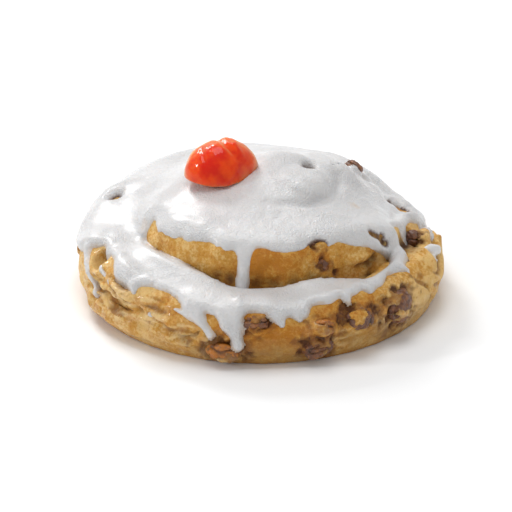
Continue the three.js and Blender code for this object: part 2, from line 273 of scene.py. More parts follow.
def noise(points, size, seed):
    """Smooth noise from -1 to 1 whose lumps are about size millimetres."""
    p = points / size + SHIFT
    cell = np.floor(p).astype(np.int64)
    f = p - cell
    f = f * f * f * (f * (f * 6 - 15) + 10)
    total = 0
    for corner in np.ndindex(2, 2, 2):
        weight = np.where(corner, f, 1 - f)
        weight = weight[:, 0] * weight[:, 1] * weight[:, 2]
        total = total + weight * lattice(cell + corner, seed)
    return total


def layered(points, size, seed, layers=3):
    total = 0
    for k in range(layers):
        total = total + noise(points, size / 2**k, seed + k) / 2**k
    return total / (2 - 0.5 ** (layers - 1))


def curve_through(keys, x):
    """Smooth curve through keys in rising order."""
    kx, ky = np.array(keys, dtype=float).T
    slope = np.gradient(ky, kx)
    i = np.clip(np.searchsorted(kx, x) - 1, 0, len(kx) - 2)
    span = kx[i + 1] - kx[i]
    s = np.clip((x - kx[i]) / span, 0, 1)
    rise = ky[i + 1] - ky[i]
    bend = s * (1 - s) * ((1 - s) * slope[i] * span - s * slope[i + 1] * span)
    bend = bend + s * (1 - s) * (2 * s - 1) * rise
    return ky[i] + s * rise + bend


def resample(keys, count):
    """The keyed row rounded off and cut into equal shares."""
    row = np.array(keys, dtype=float)
    for _ in range(2):
        if len(row) > 2:
            quarter = row[:-1] * 0.75 + row[1:] * 0.25
            threequarter = row[:-1] * 0.25 + row[1:] * 0.75
            middle = np.stack([quarter, threequarter], axis=1).reshape(-1, 2)
            row = np.concatenate([row[:1], middle, row[-1:]])
    along = np.concatenate([[0], np.cumsum(np.linalg.norm(np.diff(row, axis=0), axis=1))])
    at = np.linspace(0, along[-1], count)
    return [(float(np.interp(s, along, row[:, 0])), float(np.interp(s, along, row[:, 1]))) for s in at]


# ---- places on the bun ----
# A place is given by its azimuth in degrees about the coil's middle, with 0 at the right
# and -90 at the front, and by its radius, its height or both, in millimetres.
COIL_MIDDLE = (0.31, 0.0)
OUTSIDE = 75  # a radius clear of the bun
ABOVE = 80  # a height clear of it
SECTION_RADIUS = 46.5  # middle of the outer turn's section
SECTION_HEIGHT = 9.0
SECTION_REACH = 26  # further than that section is wide


def polar_of(points):
    """Azimuth, radius and height."""
    x = points[:, 0] - COIL_MIDDLE[0]
    y = points[:, 1] - COIL_MIDDLE[1]
    return np.degrees(np.arctan2(y, x)), np.hypot(x, y), points[:, 2]


def spot(azimuth, radius, height):
    a = math.radians(azimuth)
    return Vector((COIL_MIDDLE[0] + radius * math.cos(a), COIL_MIDDLE[1] + radius * math.sin(a), height))


def tree_of(points, piece):
    faces = [tuple(face.vertices) for face in piece.data.polygons]
    return BVHTree.FromPolygons([Vector(p) for p in points], faces)


def touch(tree, rays):
    """Where each ray, from one place towards another, meets the surface."""
    hits = [tree.ray_cast(start, (end - start).normalized())[0] for start, end in rays]
    return np.array([tuple(hit) for hit in hits if hit is not None])


def lay_on(tree, path, from_radius=OUTSIDE):
    """Places given as azimuth and height, moved in from outside until they touch."""
    return touch(tree, [(spot(azimuth, from_radius, z), spot(azimuth, 0, z)) for azimuth, z in path])


def lay_from_above(tree, path):
    """Places given as azimuth and radius, let down until they touch."""
    return touch(tree, [(spot(azimuth, r, ABOVE), spot(azimuth, r, 0)) for azimuth, r in path])


def lay_on_section(tree, path):
    """Places given as azimuth and section angle, moved in until they touch."""
    rays = []
    for azimuth, angle in path:
        a = math.radians(angle)
        radius = SECTION_RADIUS + SECTION_REACH * math.cos(a)
        height = SECTION_HEIGHT + SECTION_REACH * math.sin(a)
        rays.append((spot(azimuth, radius, height), spot(azimuth, SECTION_RADIUS, SECTION_HEIGHT)))
    return touch(tree, rays)


def gap_on_wall(points, tree, azimuth, height):
    return np.linalg.norm(points - lay_on(tree, [(azimuth, height)])[0], axis=1)


def gap_from_above(points, tree, azimuth, radius):
    return np.linalg.norm(points - lay_from_above(tree, [(azimuth, radius)])[0], axis=1)


def distance_to_path(points, path):
    """Distance to a row of places, and the share of the row at the nearest one."""
    best = np.full(len(points), 1e9)
    share = np.zeros(len(points))
    count = len(path) - 1
    for k, (a, b) in enumerate(zip(path, path[1:])):
        ab = b - a
        length2 = max(float(ab @ ab), 1e-12)
        s = np.clip(((points - a) @ ab) / length2, 0, 1)
        gap = np.linalg.norm(points - a - s[:, None] * ab, axis=1)
        closer = gap < best
        best[closer] = gap[closer]
        share[closer] = (k + s[closer]) / count
    return best, share


# ---- the dough ----
DOUGH_VOXEL = 0.62
POCKET_MARGIN = 0.3  # how much larger than a sultana its filled pocket is
SMOOTHINGS = 26  # rounds that take the facets off and keep the size
LUMPINESS = 0.65
DENTS = 0.5
WRINKLES = 0.34
TORN_MIDDLE = -145  # azimuth about which the torn layers slope
LAYER_SLOPE = 0.10  # their rise in millimetres for each degree
LEDGE_SLOPE = 0.04
LEDGE = 2.7  # from one torn ledge to the next

# Lumps that the coil's solid leaves out, as azimuth, radius, height and half sizes: where
# the tail joins the turn above it, a tongue of dough that lies in the valley at the
# right, the bulge of the tail, and the rim of the pit beside it.
LUMPS = [
    (-17, 45.4, 12.4, (7, 3.4, 5.6)),
    (-33, 43.4, 13, (8, 2.6, 5.4)),
    (-15, 48.6, 8.8, (12, 6.8, 7.4)),
    (0, 49.4, 13.6, (5.4, 2.8, 5)),
]

# Sultanas whose filled pockets lie deeper, by number, in millimetres.
SETTLED = {9: 0.8}

# Folds and ridges on the outer wall: how far each stands out, or below 0 cuts in, its
# width, and azimuth and height along it.
FOLDS = [
    # top ridge of the foot that the left front spread into, and the crease above it
    (1, 1.5, [(-163, 6.2), (-150, 8.2), (-141, 9.4), (-134, 9.2), (-128, 8.4), (-120, 7.2),
        (-112, 5.6), (-106, 4.6)]),
    (-1.1, 0.9, [(-166, 8.4), (-158, 9.4), (-152, 11), (-148, 11.2), (-143, 12.2), (-139, 11.6),
        (-133, 12.4), (-128, 11), (-124, 11.2), (-119, 9.4), (-115, 9.4), (-110, 8)]),
    # torn layers over it
    (0.9, 0.8, [(-165, 10), (-156, 11.8), (-148, 12.4), (-140, 12.6), (-134, 12.9)]),
    (-0.9, 0.6, [(-163, 12.2), (-154, 13.2), (-145, 13.6), (-136, 14.2), (-130, 13.9)]),
    (0.8, 0.9, [(-159, 14.2), (-152, 15), (-145, 15.2), (-139, 14.9), (-131, 15.2)]),
    (-1.2, 0.9, [(-147, 16.4), (-142.5, 16.3), (-139, 15.9)]),
    # bump over the crease, with a crevice at its right
    (1.2, 1.9, [(-122.5, 11.2), (-118, 10.9), (-115.5, 10.6)]),
    (-1.3, 0.8, [(-117, 8.8), (-113.5, 8.4), (-110.5, 8.8), (-109, 10.6)]),
    (-0.7, 0.7, [(-128, 13.4), (-122, 13.3), (-116, 12.8)]),
    # the tail lies over the front: its lower edge, and a crack in it
    (-1.3, 0.9, [(-32, 17.2), (-31, 15.2), (-28, 13), (-25, 11.4), (-19, 9), (-12, 6.8), (-4, 5.2)]),
    (0.8, 2, [(-28, 16.4), (-25, 14), (-18, 11.4), (-10, 9.6), (-2, 8.4)]),
    (-1.3, 0.65, [(-24.6, 15), (-21, 13.6), (-17, 11.9), (-14, 10.6)]),
    # its ridges and facets, and the knobs at its edge
    (1.5, 1.3, [(-3, 17.4), (-9, 18), (-14, 17.2), (-19, 15.4), (-22.5, 12.8)]),
    (-1, 1.9, [(2, 16.4), (-6, 15.4), (-12, 13.8), (-17, 11)]),
    (-0.7, 2.4, [(-20, 18), (-26, 16.6), (-29, 14.6)]),
    (1.1, 1.5, [(4, 14.4), (2, 13), (1, 11.4)]),
    (1, 1.4, [(-6, 13.6), (-8, 11.6), (-9, 9.4)]),
    (0.7, 0.7, [(-33, 17.6), (-31.5, 15.6), (-29.5, 14), (-26.5, 12.6)]),
    (-0.8, 0.9, [(-27, 13.2), (-25, 10), (-23, 6.6), (-22, 3.6)]),
    # the dark gap where the second turn meets the tongue
    (-2, 1, [(-47, 19.6), (-42, 20), (-38, 20.6), (-35, 21.4)]),
    (0.8, 1.2, [(-52, 22.6), (-45, 22.8), (-38, 23.4)]),
    # shallow bands along the front
    (0.5, 1.2, [(-94, 13), (-86, 12.4), (-78, 12.8), (-72, 13.6)]),
    (-0.6, 1, [(-94, 9.6), (-84, 9), (-76, 9.2), (-66, 9.8)]),
    (0.6, 1.6, [(-96, 6.2), (-86, 5.6), (-76, 5.2)]),
    (-0.6, 1.2, [(-58, 17), (-52, 16), (-46, 13.4), (-44, 8), (-45, 4)]),
    (-0.5, 1.3, [(-130, 6), (-122, 4.4), (-114, 3.4)]),
]

# Where the crust tore into layers: azimuth and height, reach, and how torn it is.
TORN = [
    (-164, 11, 5.5, 0.4), (-152, 12, 7, 0.8), (-140, 12, 6.5, 1), (-126, 12, 6, 0.8), (-114, 9, 4.5, 0.6),
    (-103, 7, 4.5, 0.8), (-34, 9, 5, 0.5), (-62, 7, 5, 0.5), (-48, 10, 5, 0.4), (-88, 13, 4, 0.4),
]


def add_lump(azimuth, radius, height, half):
    bpy.ops.mesh.primitive_uv_sphere_add(segments=32, ring_count=20, radius=1)
    ball = bpy.context.object
    points = points_of(ball) * MM
    a = math.radians(azimuth)
    along = np.array([-math.sin(a), math.cos(a), 0])
    out = np.array([math.cos(a), math.sin(a), 0])
    middle = np.array(spot(azimuth, radius, height))
    moved = middle + points[:, :1] * half[0] * along + points[:, 1:2] * half[1] * out
    moved[:, 2] += points[:, 2] * half[2]
    put_points(ball, moved)
    return ball


def filled_pocket(number, node):
    pocket = copy_of(node, node + "_filler")
    points = points_of(pocket)
    away = points - (points.min(0) + points.max(0)) / 2
    away = away / np.linalg.norm(away, axis=1, keepdims=True)
    put_points(pocket, points + away * POCKET_MARGIN - np.array([0, 0, SETTLED.get(number, 0)]))
    return pocket


def make_loaf():
    """One even skin over the dough, with the sultanas' pockets filled."""
    parts = [copy_of("dough", "loaf")]
    parts += [filled_pocket(number, node) for number, node in enumerate(SULTANAS, 1)]
    parts += [add_lump(*lump) for lump in LUMPS]
    loaf = join(parts, "loaf")
    remesh(loaf, DOUGH_VOXEL)
    points = points_of(loaf)
    edges = edges_of(loaf)
    for _ in range(SMOOTHINGS):
        points = relax(points, edges, 1, 0.5)
        points = relax(points, edges, 1, -0.47)
    put_points(loaf, relax(points, edges, 3))
    return loaf


def tear_layers(points, tree):
    """The torn crust: how far its flakes and ledges stand out, the painted shade in its tears and under its
    ledges, and the painted light on the ledges' tops.
    """
    azimuth, _, height = polar_of(points)
    torn = np.zeros(len(points))
    for at, z, reach, amount in TORN:
        torn = np.maximum(torn, amount * np.exp(-(gap_on_wall(points, tree, at, z) / reach) ** 4))
    level = height - LAYER_SLOPE * (azimuth - TORN_MIDDLE)
    level = level + 2.0 * noise(points, 7, 16) + 0.6 * noise(points, 2.4, 17)
    layers = np.stack([azimuth * 0.26, level, 0 * level], axis=1)
    tear = bell(noise(layers, 2.3, 18) / 0.30)
    thin_tear = bell(noise(layers * (1, 1.1, 1), 1.25, 28) / 0.28)
    flakes = 1.3 * noise(layers, 2.6, 19) + 0.9 * noise(layers, 1.4, 29) + 0.5 * noise(points, 1.8, 30)
    rough = 0.9 * torn * (flakes + 0.5 - tear - 0.6 * thin_tear)
    # ledges, one over the other along the wall
    run = height - LEDGE_SLOPE * (azimuth - TORN_MIDDLE)
    run = run + 1.6 * noise(points, 9, 34) + 0.4 * noise(points, 2.6, 35)
    step = run / LEDGE - np.floor(run / LEDGE)
    ledge = smoothstep(0.0, 0.65, step) * smoothstep(1.0, 0.75, step)
    stepped = 1.5 * (torn * (0.55 + 0.9 * noise(points, 6, 36))) * (ledge - 0.55)
    # painted shade in the tears and under each ledge
    fold = (0.9 * tear + 0.9 * (1 - ledge) ** 2) * np.minimum(torn, 1)
    # painted light on each ledge's top
    flake = smoothstep(0.35, 0.95, ledge + 0.5 * flakes) * np.minimum(torn, 1)
    return rough, stepped, fold, flake


def knead_loaf(loaf, tree):
    """Makes the dough uneven, and notes where shade is painted in its creases and light on its torn ledges.
    """
    points = points_of(loaf)
    out = LUMPINESS * layered(points, 13, 5, 2)
    out += DENTS * noise(points, 5.5, 15)
    out += WRINKLES * layered(points, 3.2, 9, 3)
    rough, stepped, fold, flake = tear_layers(points, tree)
    out += rough
    out += stepped
    for rise, wide, path in FOLDS:
        gap, share = distance_to_path(points, lay_on(tree, path))
        wide = wide * (1 + 0.35 * noise(points, 5, 21))
        line = bell(gap / wide) * (0.35 + 0.65 * fade_at_ends(share, 6))
        line = line * np.clip(0.8 + 1.2 * noise(points, 3.6, 22), 0.1, 1.4)
        out += rise * line
        # a fold that cuts in gets painted shade along it
        if rise < 0:
            fold = np.maximum(fold, line * min(1, -rise))
    # the underside stays flat
    out *= smoothstep(0.2, 2.5, points[:, 2])
    put_points(loaf, keep_in_box(points + normals_of(loaf) * out[:, None]))
    attributes(loaf, fold=fold, flake=flake)


# ---- openings over the sultanas ----
OPENING_DEPTH = 1.15
LIP = 0.3  # how far the dough curls up round an opening
USUAL_RAGGED = 0.5

# Blobs of dough left on the sultanas: azimuth, height and reach.
FLAPS = [
    (-43.6, 14, 1.8), (-57, 15.2, 1.9), (-73.6, 7.6, 1.4), (-98.6, 3.4, 1.4), (-91.6, 15.8, 1.5),
]
# By the sultana's number: how uneven the opening over it is, and how much wider or
# narrower than the rest.
RAGGED = {3: 0.3, 4: 1, 5: 1.1, 6: 0.8, 7: 0.3, 10: 0.2}
SHOWN = {1: 0.3, 5: 0.1, 8: -0.1, 10: 0.3, 13: -0.2, 15: -0.2, 16: -0.4}


def fruit_frames():
    """Each sultana's middle, its three axes and its half lengths along them."""
    frames = []
    for node in SULTANAS:
        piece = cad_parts[node]
        points = np.array([tuple(piece.matrix_world @ v.co) for v in piece.data.vertices]) / MM
        middle = (points.min(0) + points.max(0)) / 2
        axes = np.linalg.svd(points - middle, full_matrices=False)[2]
        half = np.abs((points - middle) @ axes.T).max(0)
        frames.append({"node": node, "middle": middle, "axes": axes, "half": half})
    return frames


def show_fruit(points, normals, fruits, tree):
    """Where the dough has torn open over a sultana, and how far its juice has browned the dough."""
    opening = np.zeros(len(points))
    stain = np.zeros(len(points))
    for i, fruit in enumerate(fruits):
        local = (points - fruit["middle"]) @ fruit["axes"].T / fruit["half"]
        reach = np.linalg.norm(local, axis=1)
        ragged = RAGGED.get(i + 1, USUAL_RAGGED) * noise(points, 3.0, 40 + i)
        ragged = ragged + 0.55 * noise(points, 1.4, 60 + i)
        shown = SHOWN.get(i + 1, 0)
        mask = smoothstep(1.06, 0.90, reach + ragged - shown)
        mask[reach > 1.8] = 0
        # skin that faces the sultana from below stays shut
        side = (local @ np.diag(fruit["half"])) @ fruit["axes"]
        mask *= (np.sum(side * normals, axis=1) > -1)
        opening = np.maximum(opening, mask)
        near = smoothstep(1.75, 1.0, reach + 1.5 * ragged - shown) * (reach < 2.2)
        stain = np.maximum(stain, 0.6 * near)
    for at, z, reach in FLAPS:
        gap = gap_on_wall(points, tree, at, z) * (1 + 0.8 * noise(points, 1.9, 80))
        opening *= smoothstep(reach * 0.7, reach * 1.2, gap)
    return opening, stain


def tear_over_fruit(dough, fruits, tree):
    points = points_of(dough)
    normals = normals_of(dough)
    opening, stain = show_fruit(points, normals, fruits, tree)
    out = -OPENING_DEPTH * opening * (1 + 0.5 * noise(points, 1.5, 77))
    out += LIP * bell((opening - 0.12) / 0.12) * (opening > 0.01)
    points = relax(points + normals * out[:, None], edges_of(dough), 1)
    put_points(dough, keep_in_box(points))
    # round the light first sultana the opening's dark brown, fruit colour and painted shade, is weaker
    gap = np.linalg.norm(points - fruits[0]["middle"], axis=1)
    attributes(dough, opening=opening * (1 - 0.6 * smoothstep(9.0, 6.0, gap)), stain=stain)


# ---- how brown the dough is ----
EVEN_BAKE = 0.30  # between pale at 0 and brown at 1
# By place, how much browner, or below 0 paler, than that: azimuth, height, reach and
# amount.
TONES = [
    (-150, 26, 7, -0.1), (-128, 26, 9, 0.05), (-108, 22, 7, 0.45), (-103, 17, 5, 0.6), (-91, 27, 6, 0.55),
    (-84, 22, 7, 0.45), (-70, 22, 8, 0.15), (-58, 28, 6, 0.3), (-46, 22, 6, 0.05), (-40, 26, 5, 0.2),
    (-142, 12, 9, 0.02), (-118, 14, 6, 0.3), (-136, 15, 4, 0.25), (-110, 10, 6, 0.1), (-101, 9, 5, 0.5),
    (-150, 4, 9, 0.2), (-96, 10, 6, 0.35), (-88, 13, 6, 0.6), (-80, 9, 7, 0.45), (-68, 12, 7, 0.3),
    (-55, 8, 8, 0.05), (-62, 15, 6, 0.4), (-50, 15, 6, 0.35), (-30, 8, 9, -0.2), (-18, 12, 9, -0.3),
    (-8, 14, 8, -0.25), (2, 12, 8, -0.1), (-24, 16, 5, 0.1),
]
# Wet, sticky places: azimuth, height and reach.
WET = [
    (-152, 11, 14), (-135, 12, 14), (-120, 10, 12), (-108, 6, 8), (-101, 5, 6), (-104, 18, 5),
    (-72, 12, 5), (-42, 10, 7),
]
# Painted shade in deep places, where the dough is made dark: azimuth, radius, reach and how dark.
DARK_PLACES = [
    (-13, 44.2, 3.4, 1), (-7, 45.6, 2.4, 0.9), (-16, 43.4, 2.6, 0.9), (10, 14.4, 2.4, 1),
    (-104, 39.4, 2.6, 0.7), (-111, 39.4, 2, 0.5), (26, 17.4, 2.4, 1), (23, 44.4, 1.5, 0.7),
    (162, 46, 1.2, 0.2), (-40, 41.6, 1.6, 0.8), (-162, 47.6, 2.6, 0.5), (38, 35, 3, 1),
]
# Painted shade in recesses on the walls, the same way: azimuth, height, reach and how dark.
DARK_WALL = [
    (-103, 20.4, 2.4, 0.8), (-109, 21.2, 2.2, 0.6), (-98, 20, 2, 0.8), (-92, 19.6, 2.4, 0.7),
    (-84, 19.6, 2.4, 0.6), (-76, 19.8, 2.2, 0.5), (-68, 20.2, 2, 0.4), (-39, 20.6, 2, 0.9),
    (-36, 21.2, 1.6, 0.8), (-161, 18.6, 2, 0.6), (-114, 7.6, 1.6, 0.35), (-35, 27.6, 2, 1),
    (-32, 26, 2.2, 1), (-28.5, 24, 2.2, 1),
]


def bake(dough, tree):
    points = points_of(dough)
    azimuth, _, height = polar_of(points)
    level = EVEN_BAKE + 0.22 * layered(points, 9, 400, 2)
    level += 0.35 * smoothstep(2.0, 0.0, height)
    # paler where light is painted on the ledges' tops
    level -= 0.7 * read_back(dough, "flake")
    for at, z, reach, amount in TONES:
        level += amount * bell(gap_on_wall(points, tree, at, z) / reach)
    wet = np.zeros(len(points))
    for at, z, reach in WET:
        wet = np.maximum(wet, 0.9 * bell(gap_on_wall(points, tree, at, z) / reach))
    # painted shade in the pits, holes, gaps and crevices
    dark = np.zeros(len(points))
    for table, gap_to, seed in ((DARK_PLACES, gap_from_above, 410), (DARK_WALL, gap_on_wall, 411)):
        uneven = 1 + 0.3 * noise(points, 2.0, seed)
        for at, other, reach, amount in table:
            dark = np.maximum(dark, amount * bell(gap_to(points, tree, at, other) / reach * uneven))
    # the lower wall baked duller than the rest, most of all at the front
    front = smoothstep(-118, -92, azimuth) * smoothstep(-5, -40, azimuth)
    dull = smoothstep(11.0, 5.0, height) * (0.15 + 0.85 * front)
    attributes(dough, bake=level, wet=wet, dark=dark, dull=dull)


# ---- sultanas ----
# By the sultana's number: how light it is, from nearly black to amber, how much deeper
# than its solid it sits, and how much higher.
FRUIT_TONE = {1: 1, 2: 0.35, 3: 1, 4: 0.3, 5: 0.15, 6: 0.2, 7: 0.1, 8: 0.25, 9: 0.2, 10: 0.35}
FRUIT_DEPTH = {1: 0.1, 3: 0.1, 4: 0.2, 5: -0.2, 6: 0.25, 7: 1.4, 9: 0.2, 10: 0, 16: 1}
RAISED = {10: 0.6}
USUAL_DEPTH = 0.45


def make_sultana(i, fruit):
    piece = rounded_copy_of(fruit["node"], fruit["node"] + "_fruit")
    # the rounded mesh is brought back to its solid's size
    local = (points_of(piece) - fruit["middle"]) @ fruit["axes"].T
    spread = local * (fruit["half"] / np.abs(local).max(0)) @ fruit["axes"]
    inwards = -fruit["middle"] / np.linalg.norm(fruit["middle"] * (1, 1, 0)) * (1, 1, 0)
    points = fruit["middle"] + spread + inwards * FRUIT_DEPTH.get(i + 1, USUAL_DEPTH)
    points = points + np.array([0, 0, RAISED.get(i + 1, 0)])
    local = spread @ fruit["axes"].T
    bent = local[:, 1] + 0.8 * noise(points, 4.0, 90 + i)
    long = np.stack([local[:, 0] * 0.28, bent, local[:, 2]], axis=1)
    # folds in the skin, cut in and given painted shade
    crease = bell(noise(long, 2.3, 100 + i) / 0.16)
    crumple = bell(noise(points, 1.5, 115 + i) / 0.2)
    out = 0.1 - 0.75 * crease - 0.3 * crumple + 0.45 * noise(points, 3.0, 130 + i)
    put_points(piece, keep_in_box(points + normals_of(piece) * out[:, None]))
    tone = np.full(len(points), FRUIT_TONE.get(i + 1, (i * 0.37) % 1.0))
    attributes(piece, tone=tone, crease=crease)
    return piece


def make_sultanas(fruits):
    return join([make_sultana(i, fruit) for i, fruit in enumerate(fruits)], "sultanas")


# ---- icing ----
ICING_VOXEL = 0.66
ICING_THICKNESS = 1.5
INNER_SIDE = 0.5  # how far the coat's inner side lies behind its top
UNDER = 1.0  # how far the dough stays under the icing's top
BEAD = 1.8  # over this width the icing reaches its thickness
SUNK = 0.5  # how far its rim lies under the dough
RIM_KEPT = 1.0  # how much of the coat under the dough stays
TUCK_REACH = 3  # the dough moves in where it is no further from the icing
FAR = 9.0  # further from any edge than the icing minds
PATCH_START = 48  # a radius from which the second turn's wall is seen
PATCH_LIMIT = 50  # the bare patches end within it
PATCH_TOP = 23.5  # above this height their edge wears the icing thin
HUMP = (12.0, -6.0)  # middle of the bump over the coil's start

# The lower edge: azimuth, and the angle about the middle of the outer turn's section,
# 0 straight out and 90 on its crest.
EDGE = [
    (-180, 24), (-176, 34), (-172, 40), (-169.5, 54), (-167, 70), (-165, 82), (-161, 85), (-156, 82),
    (-151.5, 78), (-149, 70), (-146.5, 61), (-142, 57), (-138, 55), (-135.6, 55), (-133.6, 66),
    (-130, 75), (-126.8, 77), (-123, 75), (-120, 71), (-116, 60), (-111, 52), (-106, 51), (-101, 50),
    (-97, 52), (-93.3, 58), (-88.5, 58), (-85.4, 51), (-80.7, 46), (-77.6, 45), (-75, 48), (-73.8, 60),
    (-70, 64), (-66.8, 62), (-63.3, 66), (-60.7, 62), (-57.5, 68), (-53.4, 71), (-51.8, 62), (-48.3, 65),
    (-45, 70), (-40.7, 77), (-38, 79), (-34.2, 75), (-31, 72), (-29, 78), (-26, 83), (-23, 88), (-21, 95),
    (-19.4, 104), (-17, 111), (-12.6, 112), (-8.3, 111), (-4, 109), (0.5, 104), (4.7, 99), (6.5, 90),
    (10, 75), (14, 54), (18, 30), (24, 22), (32, 36), (44, 52), (58, 48), (70, 58), (84, 50), (96, 58),
    (108, 60), (120, 48), (132, 52), (146, 42), (158, 46), (168, 30), (180, 24),
]
# Runs of icing below that edge: azimuth and angle along each, half widths along it, and
# how thin it lies where it is a mere smear, or 0.
RUNS = [
    ([(-168.5, 58), (-160.4, 33), (-155.4, 13), (-153.4, 2)], (1.5, 0.8, 0.7, 0.9), 0),
    ([(-136, 62), (-134.2, 51)], (1.6, 0.6), 0),
    ([(-112.6, 60), (-108.9, 37), (-106.9, 22), (-105.3, 9)], (2.9, 2.2, 1.1, 1.2), 0),
    ([(-99.4, 58), (-99.2, 40), (-97.9, 24), (-97.1, 4), (-96.7, -11)], (4.6, 3.6, 2.4, 1.6, 1.5), 0),
    ([(-84.4, 54), (-83.3, 33)], (2.4, 0.7), 0),
    ([(-78, 52), (-77.6, 41)], (1.5, 0.6), 0),
    ([(-60.6, 66), (-60.4, 58)], (1.2, 0.6), 0),
    ([(-32.4, 74), (-31.8, 64)], (1.3, 0.6), 0),
    ([(-13, 62), (-9.6, 52), (-6.6, 42)], (1.3, 2, 1.5), 0),
    ([(-11, 50), (-15.6, 49), (-18.6, 42)], (0.9, 0.7, 0.4), 0),
    ([(10, 74), (3, 64), (-1.2, 56)], (0.8, 0.5, 0.7), 0),
    ([(-157, 60), (-154, 54), (-151, 50)], (0.5, 0.8, 0.3), 0.8),
    ([(-148, 47), (-147, 42)], (0.5, 0.3), 0.6),
    ([(-118, 47), (-114.4, 44), (-111.6, 33)], (0.4, 0.8, 0.4), 1.2),
    ([(-127, 22), (-126, 19)], (0.5, 0.3), 1),
    ([(14, 60), (17, 20), (18, 0)], (2.6, 1.6, 1.2), 0),
    ([(62, 52), (62, 20)], (2.6, 1.2), 0),
    ([(88, 52), (89, 18), (90, -8)], (3, 1.6, 1.4), 0),
    ([(136, 52), (137, 14), (137, -4)], (2.6, 1.4, 1.2), 0),
    ([(160, 44), (161, 10)], (2.2, 1), 0),
]
# Bare patches on the wall of the second turn: how ragged each is, and azimuth and height
# of its top edge.
BARE = [
    (0.5, [(-158.8, 14), (-158.6, 20), (-159.4, 24), (-158.9, 27.4), (-157.4, 28), (-154, 27),
        (-150, 26.8), (-144, 27.3), (-137.5, 27.9), (-134, 28.2), (-127.4, 28.4), (-121.5, 29.1),
        (-116.4, 29.7), (-109.5, 29.5), (-106.6, 28.7), (-104.2, 28.5), (-102.5, 28.8), (-100.6, 28),
        (-99.8, 26), (-100.3, 22), (-100.8, 19), (-99, 14)]),
    (0.28, [(-94.9, 14), (-94.8, 24), (-94.2, 27.6), (-92.8, 29.6), (-90.5, 30), (-85, 29.2),
        (-79, 28.6), (-70, 29.4), (-62.4, 29.6), (-59.8, 28.7), (-57.6, 28.8), (-54.2, 29.4),
        (-48.6, 27.6), (-42.8, 26), (-38.3, 24.8), (-34.2, 22.6), (-30, 20.6), (-26.4, 18.4),
        (-24.8, 16), (-24.4, 12)]),
]
# How far out each patch reaches, by azimuth: to where the icing in the valley begins. At
# the right a tongue of dough takes its place.
REACH = [
    (-165, 36), (-158, 36.4), (-147, 37.2), (-134, 38), (-124, 38.3), (-117, 38.7), (-111, 39.6),
    (-105, 40.3), (-94, 40.5), (-80, 40.6), (-60, 40.7), (-55, 42), (-51.5, 43.6), (-49.5, 45.8),
    (-46, 46.6), (-43, 46.3), (-39, 45.8), (-35.5, 45.2), (-32, 44.4), (-28, 43.2), (-25, 42),
    (-20, 41.4),
]
# Small openings in the icing: half width, how much further the icing has sunk and is
# painted with shade, and azimuth and radius along it.
GAPS = [
    (0.55, 0, [(-35.6, 39.4), (-32.2, 40.4), (-27, 41.2)]),
    (0.45, 0, [(-29.2, 40.2), (-28, 40.4)]),
    (2.3, 0, [(22.6, 43.4), (19.6, 45.8)]),
    (0.6, 0, [(161, 45.4), (162.8, 46.4)]),
    (0.5, 0.8, [(2, 14.2), (11, 14.3), (18, 14.8)]),
    (0.9, 0, [(-67, 37.3), (-63.5, 36.9), (-61, 37.5)]),
    (1.3, 0, [(40, 33.8), (36, 35.6), (33, 37.4)]),
]
# Where the icing is so thin that dough shows through: azimuth, radius, reach in
# millimetres and how much of it shows.
SHEER = [
    (-19.5, 28.8, 2.4, 0.8), (-163, 35.2, 2.4, 0.7), (-158, 34.4, 2.2, 0.6), (-66, 36, 2.6, 0.3),
    (-54, 36, 2.6, 0.35), (-30, 37, 3, 0.4), (8, 38, 3.2, 0.45), (20, 43, 2.6, 0.5), (-2, 39.5, 2.4, 0.5),
    (52, 23, 2.2, 0.6), (-150, 46, 2.4, 0.25), (34, 35, 3, 0.3),
]
# Low relief of the icing's top: height, or below 0 depth, width, and azimuth and radius
# along each.
SWELLS = [
    (-1.2, 2, [(-92, 16.6), (-74, 16.8), (-60, 19.4), (-48, 21.2), (-34, 21.6), (-18, 21.8),
        (-2, 22.4), (14, 23), (26, 23.6)]),
    (2, 6.5, [(60, 12), (40, 15), (24, 18)]),
    (1, 6, [(-90, 5), (0, 3), (60, 6)]),
    (2, 5.5, [(20, 27), (34, 26.4), (46, 26)]),
    (-0.6, 4.2, [(-198, 41), (-188, 39.6), (-178, 38.4), (-168, 38), (-160, 38.4)]),
    (-0.5, 1.6, [(-16, 38), (-4, 39.6), (6, 40), (18, 39)]),
    (0.9, 1.5, [(14, 42.4), (18, 41.6), (24, 41.8), (29, 44.4), (27, 48.4), (20, 49.4)]),
    (-0.6, 1.2, [(9, 40), (12, 43), (14, 47.5)]),
    (0.9, 1.2, [(4, 43.4), (8, 44.4), (11, 47.4), (12, 49.4)]),
    (0.45, 0.8, [(-97.4, 46), (-97.4, 49.5), (-97.2, 52.6)]),
    (0.8, 2, [(-43, 47.6), (-36, 47.4), (-30, 47), (-24, 45.6), (-18, 44.4)]),
    (0.8, 3, [(40, 37.4), (34, 38.4), (28, 38.6)]),
    (0.5, 3.5, [(60, 39), (50, 40), (44, 41)]),
    (1, 2.2, [(-154, 47), (-147, 47.4), (-141, 48.4), (-137, 49.4)]),
    (1.2, 8, [(165, 45.5), (140, 45.5), (115, 45.5), (90, 45.5), (70, 45.5), (45, 45.5)]),
    (1.3, 6, [(60, 45), (50, 45), (43, 45)]),
    (0.6, 5, [(-170, 52), (-180, 52.5), (-190, 52)]),
]
